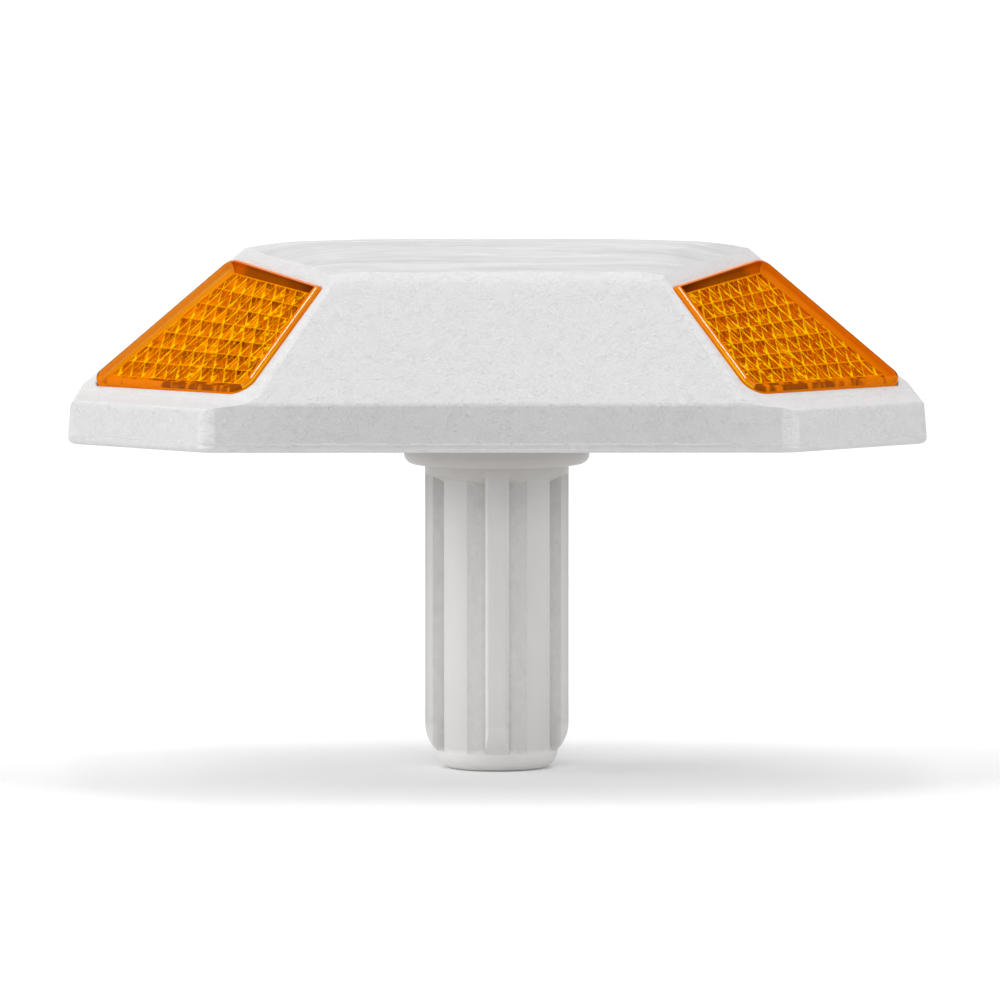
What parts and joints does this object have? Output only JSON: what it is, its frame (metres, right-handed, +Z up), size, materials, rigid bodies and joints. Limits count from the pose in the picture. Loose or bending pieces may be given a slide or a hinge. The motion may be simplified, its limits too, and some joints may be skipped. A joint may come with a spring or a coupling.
{
  "type": "road stud",
  "caption": "Low octagonal road stud with amber prismatic reflectors on sloping faces and a ribbed shank under its base for setting in a drilled hole",
  "frame": {"origin": "on the shank's axis, in the plane of the base plate's underside, which lies on the road", "axes": "+Z up out of the road, X along the head's long side, front is -Y"},
  "size_m": [0.0992, 0.07, 0.0622],
  "materials": {
    "body": "satin",
    "base": "satin",
    "shank": "satin",
    "lens": "gloss",
    "backing": "gloss",
    "seal": "matt",
    "insert": "machined",
    "steel": "zinc plated"
  },
  "bodies": {
    "root": {"body_shell": "body", "base_plate": "base", "shank": "shank", "flange_seal": "seal", "shank_insert": "insert", "shank_bolt": "steel", "bolt_washer": "steel", "lens_front_left": "lens", "lens_front_right": "lens", "lens_rear_left": "lens", "lens_rear_right": "lens", "lens_backing_front_left": "backing", "lens_backing_front_right": "backing", "lens_backing_rear_left": "backing", "lens_backing_rear_right": "backing"}
  },
  "joints": []
}
